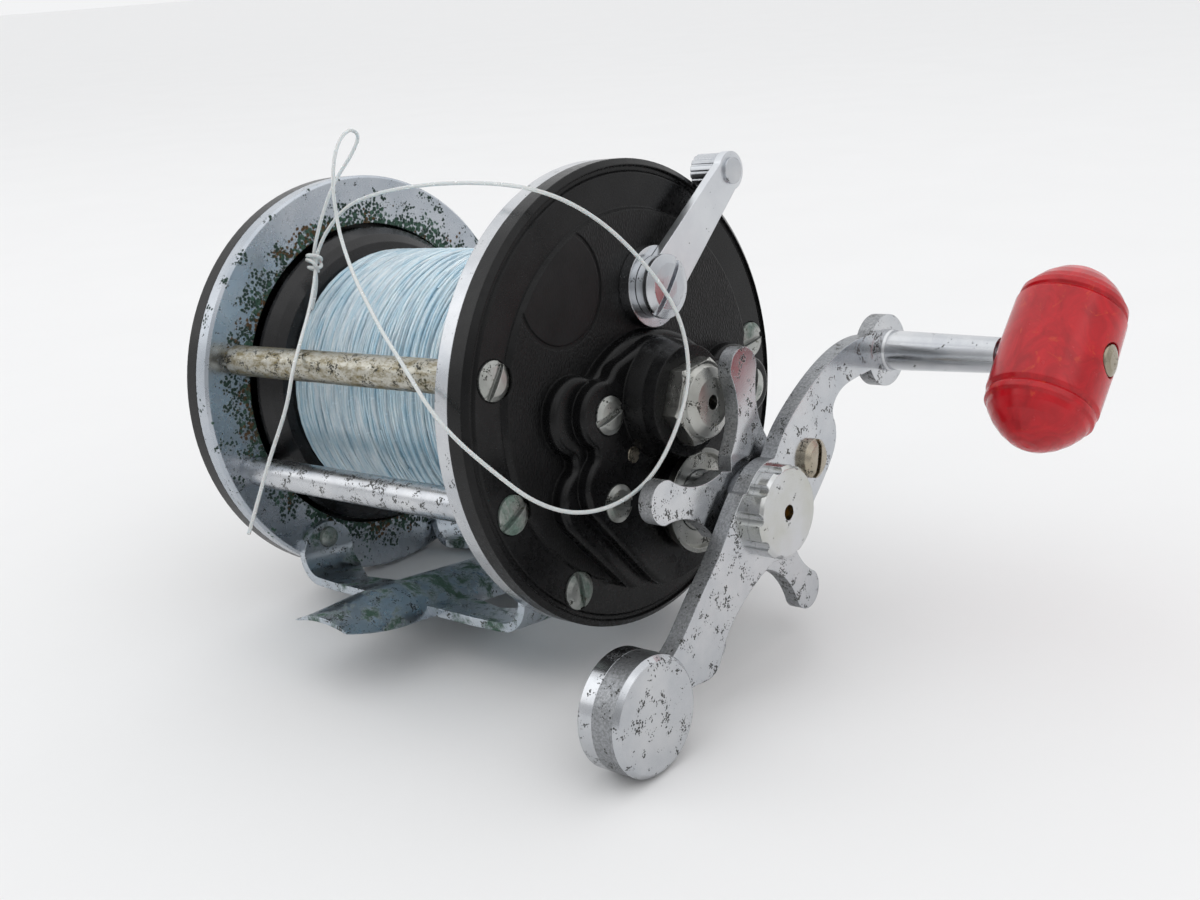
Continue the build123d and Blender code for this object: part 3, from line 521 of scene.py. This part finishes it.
free = line_curve("free_line_curve", ROUTE, LINE_D)
knot_turns = [(0.9, 0.0, -1.9), (1.5, -0.7, -0.9), (0.9, -1.3, 0.2), (-0.9, -1.3, 0.5),
              (-1.6, -0.2, 0.1), (-1.0, 1.1, -0.3), (0.8, 1.2, 0.2), (1.5, 0.2, 0.9),
              (0.7, -1.2, 1.3), (-0.9, -1.2, 1.2), (-1.5, 0.2, 0.6), (-0.6, 1.2, 0.4),
              (1.0, 1.0, -0.8), (1.4, -0.2, -1.3), (0.2, -1.2, -1.1), (-1.1, -0.9, -1.0),
              (-1.3, 0.5, -1.5)]
knot = line_curve("knot_turns", [tuple(k + d for k, d in zip(KNOT, q)) for q in knot_turns], LINE_D)
knot_mesh = bpy.data.meshes.new_from_object(knot.evaluated_get(bpy.context.evaluated_depsgraph_get()))
bpy.data.objects.remove(knot)
knot = bpy.data.objects.new("line_knot", knot_mesh)
bpy.context.collection.objects.link(knot)
for piece in (free, knot):
    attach(piece, "frame")
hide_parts("free_line")

# ---- floor and light -----------------------------------------------------------------
# the reel leans on its counterweight, the click-side plate and the rear tip of its foot
FLOOR_SLOPE = (-0.0885, 0.147)                     # rise per metre along X and Y
FLOOR_AT = -4.85 * MM
normal = Vector((-FLOOR_SLOPE[0], -FLOOR_SLOPE[1], 1)).normalized()
tilt = Vector((0, 0, 1)).rotation_difference(normal).to_matrix().to_4x4()
to_floor = Matrix.Translation((0, 0, FLOOR_AT)) @ tilt
AWAY = Vector((-0.66, 0.73, 0.0)).normalized()     # level direction from the rest camera past the reel


def floor_sheet():
    """Large pale sheet of paper that the reel lies on."""
    half = 12.0
    m = Mat("paper")
    m.feed("Base Color", m.mix(m.noise(0.02, 3), (0.80, 0.80, 0.80), (0.83, 0.83, 0.83)))
    m.feed("Roughness", m.band(m.noise(0.5, 4), 0.3, 0.7, 0.7, 0.85))
    m.feed("Normal", m.bump(m.noise(0.8, 5), 0.05))
    corners = [to_floor @ Vector((x * half, y * half, 0)) for x, y in ((-1, -1), (1, -1), (1, 1), (-1, 1))]
    return mesh_piece("floor", corners, [(0, 1, 2, 3)], m.m)


floor_sheet()
LIGHT_AIM = Vector((0.02, 0, 0.03))


def area_light(name, place, size, power):
    data = bpy.data.lights.new(name, "AREA")
    data.shape, data.size, data.size_y, data.energy = "RECTANGLE", size[0], size[1], power
    obj = bpy.data.objects.new(name, data)
    bpy.context.collection.objects.link(obj)
    obj.location = to_floor @ Vector(place)
    obj.rotation_euler = (LIGHT_AIM - obj.location).to_track_quat("-Z", "Y").to_euler()


area_light("top", (0.05, 0.05, 0.95), (1.3, 1.3), 1.05)
area_light("left", (-0.80, -0.55, 0.60), (0.6, 0.7), 0.9)
area_light("right", (0.85, -0.10, 0.60), (0.6, 0.7), 0.65)


def studio_world():
    """Soft tent: bright overhead and behind the reel, dim on the camera's side."""
    world = bpy.data.worlds.new("studio")
    bpy.context.scene.world = world
    world.use_nodes = True
    t = world.node_tree
    sky = t.nodes["Background"]

    def node(kind, **inputs):
        n = t.nodes.new(kind)
        for k, v in inputs.items():
            n.inputs[int(k[1:])].default_value = v
        return n

    coord = node("ShaderNodeTexCoord")
    dot = node("ShaderNodeVectorMath", _1=tuple(AWAY))
    dot.operation = "DOT_PRODUCT"
    t.links.new(coord.outputs["Generated"], dot.inputs[0])
    level = node("ShaderNodeMapRange", _1=-0.7, _2=0.35, _3=0.48, _4=0.91)
    t.links.new(dot.outputs["Value"], level.inputs[0])
    height = node("ShaderNodeSeparateXYZ")
    t.links.new(coord.outputs["Generated"], height.inputs[0])
    lift = node("ShaderNodeMapRange", _1=0.15, _2=0.75, _3=0.0, _4=1.0)
    t.links.new(height.outputs[2], lift.inputs[0])
    blend = node("ShaderNodeMix", _3=1.12)
    t.links.new(lift.outputs[0], blend.inputs[0])
    t.links.new(level.outputs[0], blend.inputs[2])
    t.links.new(blend.outputs[0], sky.inputs[1])
    sky.inputs[0].default_value = (0.985, 0.99, 1.0, 1)


studio_world()
bpy.context.scene.view_settings.view_transform = "Standard"
